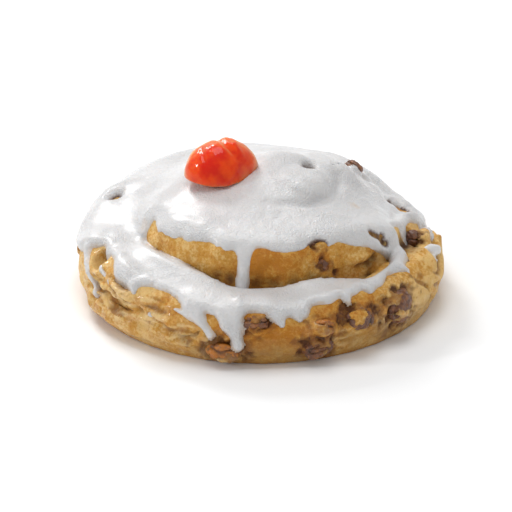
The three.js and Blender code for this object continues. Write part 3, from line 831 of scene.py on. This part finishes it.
# Icing that filled the valleys between the turns: azimuth, radius and height where its
# surface starts at the wall, and radius and height where it ends on the outer side.
VALLEY = [
    (-352, 35, 22.6, 43, 18.6), (-340, 37, 22.4, 44, 17.2), (-330, 38.6, 21.6, 45, 17),
    (-318, 40, 22.2, 45, 17.9), (-306, 40.2, 23.4, 45, 20.8), (-290, 38.6, 25.6, 44, 22.8),
    (-270, 38.6, 26, 43, 24.2), (-250, 37.6, 25.8, 43, 24.5), (-230, 36, 26.2, 43, 24.2),
    (-210, 34.6, 25.6, 43, 22.7), (-195, 33.6, 25, 43, 21.4), (-180, 33.4, 24.2, 43.5, 20.5),
    (-168, 34.6, 22.6, 44.5, 20.1), (-158, 35.6, 20.6, 45.5, 19.7), (-147, 36.4, 22.2, 46, 19.3),
    (-134, 37.2, 22.8, 46, 18.7), (-124, 37.4, 22.7, 46, 18.4), (-116, 37.8, 21.8, 46, 18.3),
    (-110, 40, 20.4, 46, 18.3), (-105, 41.2, 19.3, 46, 18.3), (-100, 41.4, 18.6, 46, 18.1),
    (-93, 41.4, 17.9, 46, 18), (-86, 41.4, 18.2, 46, 18.1), (-79.5, 41.4, 19.1, 46, 18.2),
    (-71, 41.4, 20.3, 46, 18.2), (-64, 41.4, 19.8, 46, 18.2), (-58, 41.8, 18.9, 46, 18.2),
    (-53, 43.4, 18.3, 46.5, 18.3), (-49, 45.6, 18.2, 47, 18.3),
]
BRIDGE = [
    (-31, 44.6, 17.6, 47, 18), (-27, 42.8, 18.6, 47, 18.1), (-22, 41.8, 20.2, 47, 17.9),
    (-17, 41.4, 20.8, 46.6, 17.7), (-12.5, 41.6, 19.6, 46, 16.8),
]
INNER_VALLEY = [
    (-98, 25, 30.6, 33.6, 29.8), (-84, 25.6, 31.8, 34.2, 30.8), (-72, 23, 33, 34.6, 31),
    (-60, 22, 33, 35, 30.6), (-45, 22, 32.8, 35.6, 30.2), (-30, 22, 32.6, 36.6, 28),
    (-18, 22, 32.2, 37.6, 25.8), (-5, 22.4, 31.8, 38.6, 22.6), (10, 23, 31.2, 37, 21.6),
    (22, 24, 30.6, 36, 23.2),
]
FILL_STEP = 2.5
FILL_DEPTH = 5.0


def filler(name, keys):
    """A ring of icing under the coat, from one key to the next."""
    keys = np.array(keys)
    azimuths = np.arange(keys[0, 0], keys[-1, 0] + 0.1, FILL_STEP)
    columns = [curve_through(keys[:, [0, k]], azimuths) for k in range(1, 5)]
    vertices = []
    for azimuth, inner, wall, outer, crest in zip(azimuths, *columns):
        ring = [(inner + (outer - inner) * s, wall + (crest - wall) * s) for s in (0, 0.2, 0.4, 0.6, 0.8, 1)]
        ring += [(outer, crest - FILL_DEPTH), (inner + 0.5, wall - FILL_DEPTH)]
        vertices += [tuple(spot(azimuth, radius, height) * MM) for radius, height in ring]
    size = len(ring)
    last = len(vertices) - size
    faces = [tuple(range(size)), tuple(reversed(range(last, last + size)))]
    for i in range(0, last, size):
        for j in range(size):
            k = (j + 1) % size
            faces.append((i + j, i + size + j, i + size + k, i + k))
    mesh = bpy.data.meshes.new(name)
    mesh.from_pydata(vertices, [], faces)
    piece = piece_from(mesh, name)
    edit_all(piece, bpy.ops.mesh.normals_make_consistent, inside=False)
    return piece


def signed_edge(points, tree):
    """Distance from the lower edge, positive above it."""
    azimuth, radius, height = polar_of(points)
    angle = np.degrees(np.arctan2(height - SECTION_HEIGHT, radius - SECTION_RADIUS))
    angle[angle < -90] += 360
    step = np.arange(-180, 180.01, 0.4)
    line = curve_through(EDGE, step)
    wobble = np.stack([step * 0.8, 0 * step, 0 * step], axis=1)
    calm = 1 - 0.75 * bell((step + 146) / 14) - 0.8 * bell((step + 8) / 12)
    line = line + calm * (2.2 * noise(wobble, 3.0, 300) + 1.4 * noise(wobble, 1.4, 301))
    gap, _ = distance_to_path(points, lay_on_section(tree, list(zip(step, line))))
    return np.where(angle > np.interp(azimuth, step, line), gap, -gap)


def add_runs(points, tree, margin, thin):
    """The margin with the runs below the edge, and where they lie thin."""
    for path, halves, smear in RUNS:
        gap, share = distance_to_path(points, lay_on_section(tree, resample(path, 18)))
        half = np.interp(share, np.linspace(0, 1, len(halves)), halves)
        half = half * (1 + 0.12 * noise(points, 2.0, 310))
        if smear:
            thin = np.where((half - gap > -0.5) & (margin < 0), np.minimum(thin, smear), thin)
            margin = np.maximum(margin, half - gap)
        else:
            margin = smooth_max(margin, half - gap, 1.2)
    return margin, thin


def leave_bare(points, tree, margin, thin):
    """The margin without the bare patches, and where their edges lie thin."""
    azimuth, radius, height = polar_of(points)
    out = radius - np.interp(azimuth, *np.array(REACH).T) + 0.35 * noise(points, 4.0, 322)
    # at the left the valley's icing runs out thin against the wall
    out = out * np.interp(azimuth, [-118, -111], [0.7, 1.0])
    out = np.where(out < 0, 1.8 * out, out)
    for ragged, edge in BARE:
        line = np.array(resample(edge, 260))
        wobble = np.stack([line[:, 0] * 0.65, line[:, 1], 0 * line[:, 0]], axis=1)
        line[:, 1] += ragged * (0.6 * noise(wobble, 2.2, 320) + 0.6 * noise(wobble, 1.1, 321))
        gap, _ = distance_to_path(points, lay_on(tree, line, PATCH_START))
        inside = (azimuth > edge[0][0]) & (azimuth < edge[-1][0]) & (radius < PATCH_LIMIT)
        inside &= height < np.interp(azimuth, line[:, 0], line[:, 1])
        side = np.where(inside, -gap, gap)
        margin = np.minimum(margin, np.maximum(side, out))
        thin = np.minimum(thin, np.where(height > PATCH_TOP, np.maximum(side, 0), FAR))
    return margin, thin


def icing_margin(points, tree):
    """Distances from the icing's edge, from where it lies thin and from its small holes."""
    margin = signed_edge(points, tree)
    margin, thin = add_runs(points, tree, margin, np.full(len(points), FAR))
    margin, thin = leave_bare(points, tree, margin, thin)
    holes = np.full(len(points), FAR)
    for half, rim, path in GAPS:
        gap, _ = distance_to_path(points, lay_from_above(tree, resample(path, 8)))
        margin = np.minimum(margin, gap - half * (1 + 0.5 * noise(points, 1.5, 330)))
        thin = np.minimum(thin, np.maximum(gap - half, 0) + 1.0)
        holes = np.minimum(holes, gap - half - rim)
    return margin, thin, holes


def flow_out(coat, points, edges, margin):
    """Creases fill up, and the broad top flows into one surface but for the hump."""
    points = level_out(points, normals_of(coat), edges, smoothstep(0.5, 4.0, margin), 30, -0.6, 3.0)
    from_hump = np.hypot(points[:, 0] - HUMP[0], points[:, 1] - HUMP[1])
    behind = smoothstep(-3.0, 2.0, points[:, 1])
    broad = smoothstep(3.0, 7.5, margin) * np.maximum(smoothstep(9.0, 13.0, from_hump), behind)
    points = level_out(points, normals_of(coat), edges, broad, 160, -0.7, 3.0)
    put_points(coat, points)
    return points


def icing_lift(points, edges, tree, margin, thin, holes):
    """How far the icing's top stands over the dough, with its swells and sunken holes."""
    s = np.clip(margin / BEAD, -1, 1)
    bead = np.where(margin > 0, np.sqrt(np.maximum(1 - (1 - np.maximum(s, 0)) ** 2, 0)), 0)
    thick = ICING_THICKNESS * (1 + 0.12 * noise(points, 9, 340) + 0.05 * noise(points, 3.5, 341))
    thick *= 0.36 + 0.64 * relax(smoothstep(0.0, 5.0, thin), edges, 6)
    lift = np.where(margin > 0, thick * bead + 0.12 * bell(margin - 1.6), 0)
    for rise, wide, path in SWELLS:
        gap, share = distance_to_path(points, lay_from_above(tree, resample(path, 24)))
        fade = fade_at_ends(share, 5) if wide < 3 else 1
        lift += rise * bell(gap / wide) * fade * smoothstep(0.5, 2.0, margin)
    lift = np.where(margin <= 0, -SUNK * np.clip(-margin / 0.7, 0, 1), np.maximum(lift, 0.15 * bead))
    return lift - 1.2 * smoothstep(0.2, -0.8, holes)


def film_over(points, tree, margin):
    """How well the icing covers the dough, from 0 to 1."""
    film = smoothstep(-0.5, 0.9, margin + 0.4 * noise(points, 2.2, 351))
    uneven = 1 + 0.35 * noise(points, 2.6, 350)
    for at, radius, reach, amount in SHEER:
        gap = gap_from_above(points, tree, at, radius) / reach * uneven
        film = np.minimum(film, 1 - amount * bell(gap))
    return film


def make_icing(base):
    fillings = (("valley", VALLEY), ("bridge", BRIDGE), ("inner_valley", INNER_VALLEY))
    coat = join([base] + [filler(name, keys) for name, keys in fillings], "icing_coat")
    remesh(coat, ICING_VOXEL)
    edges = edges_of(coat)
    points = relax(points_of(coat), edges, 3)
    put_points(coat, points)
    tree = tree_of(points, coat)
    margin, thin, holes = icing_margin(points, tree)
    points = flow_out(coat, points, edges, margin)
    normals = relax(normals_of(coat), edges, 4)
    normals /= np.linalg.norm(normals, axis=1, keepdims=True)
    lift = icing_lift(points, edges, tree, margin, thin, holes)
    points = relax(points + normals * lift[:, None], edges, 1)
    put_points(coat, keep_in_box(points))
    film = film_over(points, tree, margin)
    # painted shade in and round the small holes
    attributes(coat, film=film, depth=margin, bare=smoothstep(0.75, 0.15, holes))
    # what lies well under the dough is dropped, and the coat gets its inner side
    drop_vertices(coat, (margin <= -RIM_KEPT) & (holes > 0.6))
    modify(coat, "SOLIDIFY", thickness=INNER_SIDE * MM, offset=-1, use_rim=True)
    put_points(coat, keep_in_box(points_of(coat)))
    return coat


def tuck_under(loaf, coat):
    """Moves the dough in wherever it comes too near the icing's top."""
    count = len(coat.data.vertices) // 2
    tops = points_of(coat)[:count]
    covered = relax(smoothstep(1.2, 2.4, read_back(coat, "depth")), edges_of(coat), 2)[:count]
    tree = KDTree(count)
    for i, point in enumerate(tops):
        tree.insert(point, i)
    tree.balance()
    points = points_of(loaf)
    normals = normals_of(loaf)
    coat_normals = normals_of(coat)[:count]
    for k, point in enumerate(points):
        _, i, gap = tree.find(point)
        if covered[i] > 0 and gap < TUCK_REACH:
            below = float((tops[i] - point) @ coat_normals[i])
            if below < UNDER:
                points[k] = point - normals[k] * (UNDER - below) * covered[i]
    put_points(loaf, points)


# ---- cherry ----
# Folds in the cherry's skin: height, or below 0 depth, width, and places along each in
# shares of the cherry's half lengths.
CHERRY_FOLDS = [
    (-0.7, 1.1, [(-0.25, 0.9, 0.9), (-0.1, 0.35, 1), (0.15, -0.2, 0.9), (0.55, -0.55, 0.45)]),
    (0.5, 1.4, [(0, 0.8, 0.9), (0.15, 0.3, 0.95), (0.4, -0.2, 0.8), (0.8, -0.4, 0.3)]),
    (-0.4, 0.8, [(-0.6, 0.2, 0.8), (-0.5, -0.5, 0.7), (-0.4, -0.9, 0.2)]),
]


def make_cherry():
    cherry = rounded_copy_of("cherry", "cherry_half")
    points = points_of(cherry)
    lowest, highest = points.min(0), points.max(0)
    middle = (lowest + highest) / 2
    half = (highest - lowest) / 2
    out = 0.35 * noise(points, 6.0, 500) + 0.12 * noise(points, 2.4, 501)
    for rise, wide, path in CHERRY_FOLDS:
        gap, share = distance_to_path(points, middle + np.array(path) * half)
        out += rise * bell(gap / wide) * fade_at_ends(share, 4)
    points = np.clip(points + normals_of(cherry) * out[:, None], lowest, highest)
    put_points(cherry, points)
    # the cut rim shows paler
    low = (points[:, 2] - lowest[2]) / (2 * half[2])
    right = smoothstep(0.2, 0.9, (points[:, 0] - middle[0]) / half[0])
    front = smoothstep(0.0, -0.7, (points[:, 1] - middle[1]) / half[1])
    rind = np.maximum(smoothstep(0.30, 0.05, low) * 0.6, right * front * smoothstep(0.85, 0.4, low))
    attributes(cherry, rind=rind)
    return cherry


# ---- materials ----
def material_named(name):
    material = bpy.data.materials.new(name)
    material.use_nodes = True
    return material, material.node_tree, material.node_tree.nodes["Principled BSDF"]


def feed(tree, socket, value):
    """Links the socket to another node's output, or sets it to a number or a colour."""
    if isinstance(value, bpy.types.NodeSocket):
        tree.links.new(value, socket)
    elif isinstance(value, tuple) and socket.type == "RGBA":
        socket.default_value = (*value, 1)
    else:
        socket.default_value = value


def finish(tree, shader, sockets, scatter=0.0, scatter_reach=(0, 0, 0)):
    """Feeds the shader's sockets, with light scattered this far inside, in millimetres."""
    for name, value in sockets.items():
        feed(tree, shader.inputs[name], value)
    if scatter:
        shader.inputs["Subsurface Weight"].default_value = scatter
        shader.inputs["Subsurface Radius"].default_value = [reach * MM for reach in scatter_reach]
        shader.inputs["Subsurface Scale"].default_value = 1.0


def noise_of(tree, size, detail=3, rough=0.5):
    """Noise with grains of the given size in millimetres, in object space."""
    place = tree.nodes.new("ShaderNodeTexCoord")
    node = tree.nodes.new("ShaderNodeTexNoise")
    node.inputs["Scale"].default_value = 1 / (size * MM)
    node.inputs["Detail"].default_value = detail
    node.inputs["Roughness"].default_value = rough
    tree.links.new(place.outputs["Object"], node.inputs["Vector"])
    return node.outputs["Fac"]


def ramp(tree, value, low, high, from_value=0.0, to_value=1.0):
    node = tree.nodes.new("ShaderNodeMapRange")
    node.interpolation_type = "SMOOTHSTEP"
    node.clamp = True
    for socket, number in zip(node.inputs, (value, low, high, from_value, to_value)):
        feed(tree, socket, number)
    return node.outputs["Result"]


def patches(tree, grain, *limits):
    """Noise of the given size, detail and roughness, cut to soft patches."""
    return ramp(tree, noise_of(tree, *grain), *limits)


def blend(tree, share, first, second):
    node = tree.nodes.new("ShaderNodeMix")
    node.data_type = "RGBA"
    for name, value in (("Factor", share), (6, first), (7, second)):
        feed(tree, node.inputs[name], value)
    return node.outputs[2]


def painted(tree, colour, layers):
    """The colour with others laid over it, each by its share."""
    for share, over in layers:
        colour = blend(tree, share, colour, over)
    return colour


def sums(tree, first, second, operation="ADD"):
    node = tree.nodes.new("ShaderNodeMath")
    node.operation = operation
    feed(tree, node.inputs[0], first)
    feed(tree, node.inputs[1], second)
    return node.outputs[0]


def times(tree, first, second):
    return sums(tree, first, second, "MULTIPLY")


def read(tree, name):
    node = tree.nodes.new("ShaderNodeAttribute")
    node.attribute_name = name
    return node.outputs["Fac"]


def bump(tree, shader, height, strength, depth):
    node = tree.nodes.new("ShaderNodeBump")
    node.inputs["Strength"].default_value = strength
    node.inputs["Distance"].default_value = depth * MM
    tree.links.new(height, node.inputs["Height"])
    tree.links.new(node.outputs["Normal"], shader.inputs["Normal"])


PALE_DOUGH = (0.78, 0.51, 0.185)
GOLDEN_DOUGH = (0.63, 0.315, 0.055)
BAKED_DOUGH = (0.50, 0.185, 0.012)
DULL_DOUGH = (0.345, 0.190, 0.062)
# painted shade in creases, tears and under ledges
CREASED_DOUGH = (0.26, 0.095, 0.014)
# painted light on the torn ledges' tops
CREAM_DOUGH = (0.90, 0.66, 0.33)
STAINED_DOUGH = (0.17, 0.055, 0.014)
# dark brown of the fruit under an opening, with painted shade in its recess
TORN_DOUGH = (0.11, 0.036, 0.012)
# painted shade in the deep places
DARK_DOUGH = (0.055, 0.016, 0.005)


def dough_material():
    material, tree, shader = material_named("dough_crumb")
    broad = patches(tree, (4.5, 4, 0.6), 0.3, 0.7, -0.30, 0.30)
    fine = patches(tree, (0.9, 4, 0.65), 0.3, 0.7, -0.27, 0.27)
    level = sums(tree, sums(tree, read(tree, "bake"), broad), fine)
    dull = times(tree, read(tree, "dull"), patches(tree, (6.0, 3, 0.5), 0.3, 0.7, 0.35, 0.85))
    torn = ramp(tree, read(tree, "opening"), 0.10, 0.8)
    torn = times(tree, torn, patches(tree, (1.2, 3, 0.6), 0.35, 0.6, 0.4, 0.9))
    # painted light on the torn ledges' tops
    cream = times(tree, read(tree, "flake"), patches(tree, (1.6, 3, 0.6), 0.36, 0.58, 0, 0.75))
    colour = painted(tree, PALE_DOUGH, (
        (ramp(tree, level, 0.05, 0.5), GOLDEN_DOUGH),
        (ramp(tree, level, 0.5, 1.0), BAKED_DOUGH),
        (dull, DULL_DOUGH),
        (read(tree, "stain"), STAINED_DOUGH),
        (patches(tree, (0.5, 2, 0.5), 0.64, 0.74, 0, 0.55), BAKED_DOUGH),  # pores
        (patches(tree, (0.6, 2, 0.5), 0.66, 0.76, 0, 0.35), PALE_DOUGH),  # flour
        # the openings over the sultanas: dark brown of the fruit, with painted shade in the recess
        (torn, TORN_DOUGH),
        # painted shade in the creases and tears
        (ramp(tree, read(tree, "fold"), 0.35, 1.1, 0, 0.7), CREASED_DOUGH),
        # painted light on the torn ledges' tops
        (cream, CREAM_DOUGH),
        # painted shade in the deep places
        (read(tree, "dark"), DARK_DOUGH),
    ))
    wet = times(tree, read(tree, "wet"), patches(tree, (3.4, 2), 0.38, 0.58))
    finish(tree, shader, {
        "Base Color": colour,
        "Roughness": patches(tree, (2.6, 3), 0.35, 0.65, 0.40, 0.72),
        "Specular IOR Level": 0.3,
        "Coat Weight": wet,
        "Coat Roughness": 0.12,
    }, 0.12, (1.6, 0.8, 0.3))
    crumb = sums(tree, noise_of(tree, 0.8, 4, 0.7), times(tree, noise_of(tree, 2.2, 3, 0.6), 1.4))
    bump(tree, shader, crumb, 0.9, 0.6)
    return material


ICING_WHITE = (0.648, 0.640, 0.642)
ICING_THIN = (0.56, 0.40, 0.26)
# painted shade in the icing's holes
ICING_HOLE = (0.095, 0.034, 0.012)


def icing_material():
    material, tree, shader = material_named("icing_sugar")
    uneven = patches(tree, (2.0, 3), 0.3, 0.7, -0.10, 0.10)
    thin = ramp(tree, sums(tree, read(tree, "film"), uneven), 0.05, 0.75, 0.62, 0)
    finish(tree, shader, {
        # painted shade in and round the icing's small holes
        "Base Color": painted(tree, ICING_WHITE, ((thin, ICING_THIN), (read(tree, "bare"), ICING_HOLE))),
        "Roughness": patches(tree, (1.4, 3, 0.6), 0.3, 0.7, 0.34, 0.55),
        "Specular IOR Level": 0.6,
        "Coat Weight": 0.45,
        "Coat Roughness": 0.25,
    }, 0.3, (1.3, 1.0, 0.8))
    # fine grains, in some places more than in others, on a soft flow
    grain = times(tree, noise_of(tree, 0.55, 2, 0.55), patches(tree, (14, 2, 0.5), 0.40, 0.60, 1.0, 3.0))
    flow = times(tree, noise_of(tree, 2.6, 2, 0.5), 1.8)
    bump(tree, shader, sums(tree, grain, flow), 0.62, 0.42)
    return material


SULTANA_DARK = (0.125, 0.042, 0.016)
SULTANA_BROWN = (0.32, 0.115, 0.026)
SULTANA_AMBER = (0.50, 0.17, 0.012)
# painted shade in the skin's folds
SULTANA_CREASE = (0.022, 0.007, 0.004)
# painted sheen: grey-purple patches on the skin
SUGAR_DUST = (0.19, 0.105, 0.075)
CRUMBS = (0.42, 0.19, 0.05)


def sultana_material():
    material, tree, shader = material_named("sultana_skin")
    tone = ramp(tree, read(tree, "tone"), 0, 1, -0.10, 0.30)
    lightness = sums(tree, noise_of(tree, 1.8, 3, 0.6), tone)
    colour = painted(tree, SULTANA_DARK, (
        (ramp(tree, lightness, 0.36, 0.72), SULTANA_BROWN),
        # painted sheen in grey-purple patches
        (patches(tree, (1.1, 3, 0.6), 0.50, 0.64, 0, 0.5), SUGAR_DUST),
        (patches(tree, (0.8, 3, 0.6), 0.60, 0.68, 0, 0.6), CRUMBS),
        (ramp(tree, lightness, 0.64, 0.82), SULTANA_AMBER),
        # painted shade in the skin's folds
        (ramp(tree, read(tree, "crease"), 0.3, 1.0, 0, 0.7), SULTANA_CREASE),
    ))
    finish(tree, shader, {
        "Base Color": colour,
        "Roughness": 0.36,
        "Coat Weight": 0.2,
        "Coat Roughness": 0.16,
    }, 0.15, (1.2, 0.4, 0.2))
    bump(tree, shader, noise_of(tree, 0.7, 3, 0.6), 0.9, 0.4)
    return material


CHERRY_DEEP = (0.70, 0.016, 0.0005)
CHERRY_BRIGHT = (0.86, 0.075, 0.001)
# painted sheen towards the cherry's outline
CHERRY_MILKY = (0.74, 0.38, 0.15)
CHERRY_RIND = (0.80, 0.28, 0.12)


def cherry_material():
    material, tree, shader = material_named("glace_cherry")
    edge = tree.nodes.new("ShaderNodeLayerWeight")
    edge.inputs["Blend"].default_value = 0.24
    colour = painted(tree, CHERRY_DEEP, (
        (patches(tree, (5.0, 2, 0.5), 0.35, 0.65), CHERRY_BRIGHT),
        # painted sheen: paler towards the outline, by the angle to the view
        (ramp(tree, edge.outputs["Facing"], 0.08, 0.7, 0, 0.85), CHERRY_MILKY),
        (ramp(tree, read(tree, "rind"), 0.2, 0.9, 0, 0.75), CHERRY_RIND),
    ))
    finish(tree, shader, {
        "Base Color": colour,
        "Roughness": 0.35,
        "Specular IOR Level": 0.05,
        "Coat Weight": 0.5,
        "Coat Roughness": 0.03,
    }, 0.7, (5.0, 0.7, 0.1))
    bump(tree, shader, noise_of(tree, 1.1, 2, 0.5), 0.7, 0.3)
    return material


# ---- floor and light ----
FLOOR_SIZE = 8
FLOOR_WHITE = (0.94, 0.95, 0.96)
STUDIO_WHITE = (1.0, 0.99, 0.98)
STUDIO_STRENGTH = 0.57
LIGHT_AIM = Vector((0, 0, 0.02))
# Area lights: name, place, energy and size.
LIGHTS = [
    ("key", Vector((-0.62, 1.25, 1.05)), 12.5, 0.5),
    ("soft", Vector((-0.05, 0.15, 1.30)), 6.0, 0.7),
    ("side", Vector((-1.35, -0.20, 0.62)), 3.9, 0.15),
]


def lay_floor():
    bpy.ops.mesh.primitive_plane_add(size=FLOOR_SIZE, location=(0, 0, 0))
    floor = bpy.context.object
    floor.name = "floor"
    material, tree, shader = material_named("floor")
    finish(tree, shader, {"Base Color": FLOOR_WHITE, "Roughness": 1.0, "Specular IOR Level": 0.0})
    floor.data.materials.append(material)


def set_light():
    world = bpy.data.worlds.new("studio")
    bpy.context.scene.world = world
    world.use_nodes = True
    background = world.node_tree.nodes["Background"]
    finish(world.node_tree, background, {"Color": STUDIO_WHITE, "Strength": STUDIO_STRENGTH})
    for name, place, energy, size in LIGHTS:
        bpy.ops.object.light_add(type="AREA", location=place)
        light = bpy.context.object
        light.name = name
        light.data.energy = energy
        light.data.size = size
        light.rotation_euler = (LIGHT_AIM - place).to_track_quat("-Z", "Y").to_euler()
    bpy.context.scene.view_settings.view_transform = "Standard"


# ---- the bun ----
place_camera()
lay_floor()
set_light()
fruits = fruit_frames()
dough = make_loaf()
surface = tree_of(points_of(dough), dough)
knead_loaf(dough, surface)
icing = make_icing(piece_from(dough.data.copy(), "icing_base"))
tuck_under(dough, icing)
dough.name = "dough_coil"
tear_over_fruit(dough, fruits, surface)
bake(dough, surface)
sultanas = make_sultanas(fruits)
cherry = make_cherry()

for piece, material, slot, nodes in (
    (dough, dough_material(), "dough", ["dough"]),
    (icing, icing_material(), "icing", ["icing"]),
    (sultanas, sultana_material(), "sultana", SULTANAS),
    (cherry, cherry_material(), "cherry", ["cherry"]),
):
    piece.data.materials.clear()
    piece.data.materials.append(material)
    activate(piece)
    bpy.ops.object.shade_smooth()
    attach(piece, "root")
    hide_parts(*nodes)
    print("PIECE", piece.name, sum(len(f.vertices) - 2 for f in piece.data.polygons))
